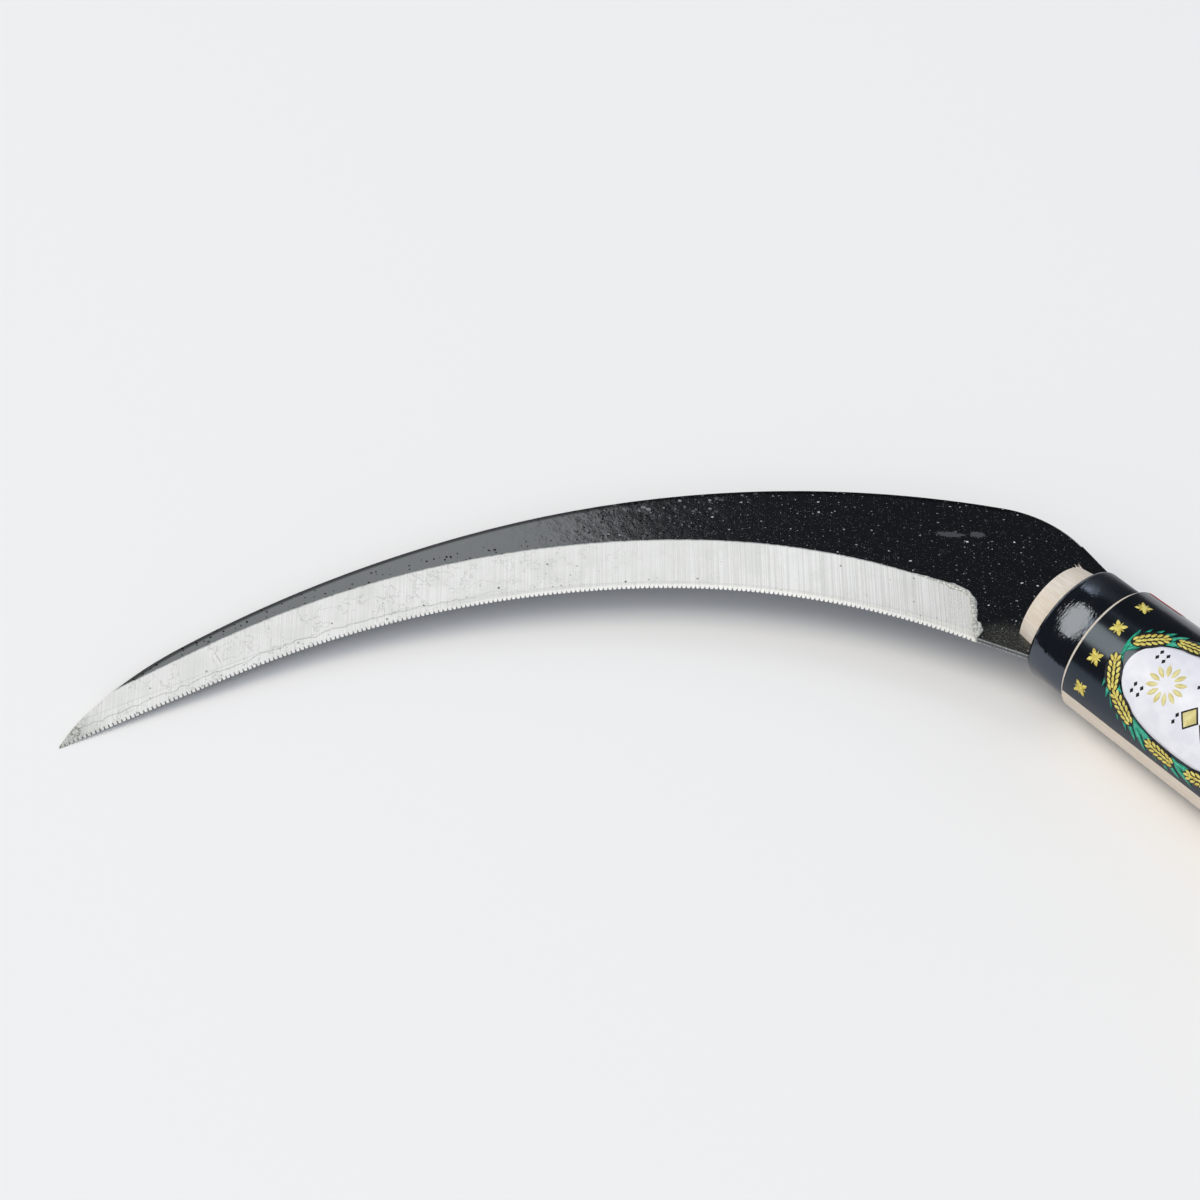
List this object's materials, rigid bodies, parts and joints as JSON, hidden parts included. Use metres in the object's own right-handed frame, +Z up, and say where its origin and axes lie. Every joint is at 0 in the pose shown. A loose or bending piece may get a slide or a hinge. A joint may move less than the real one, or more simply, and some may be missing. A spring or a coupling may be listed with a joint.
{
  "type": "sickle",
  "caption": "Saw-toothed sickle with a curved black-lacquered steel blade, a ground edge band, a black ferrule and a pale wooden handle with a wrap-around label.",
  "frame": {"origin": "middle of the straight grip, on the handle's axis", "axes": "+X along the handle toward the blade, +Y to the side that the blade curves to, +Z up from the surface that the sickle lies on"},
  "size_m": [0.2835, 0.1819, 0.03],
  "materials": {
    "blade_steel": "gloss",
    "ferrule_steel": "gloss",
    "handle_wood": "satin",
    "pin_steel": "satin",
    "label_film": "gloss"
  },
  "bodies": {
    "root": {"blade": "blade_steel", "handle": "handle_wood", "ferrule": "ferrule_steel", "tang_pin": "pin_steel", "label": "label_film"}
  },
  "joints": []
}
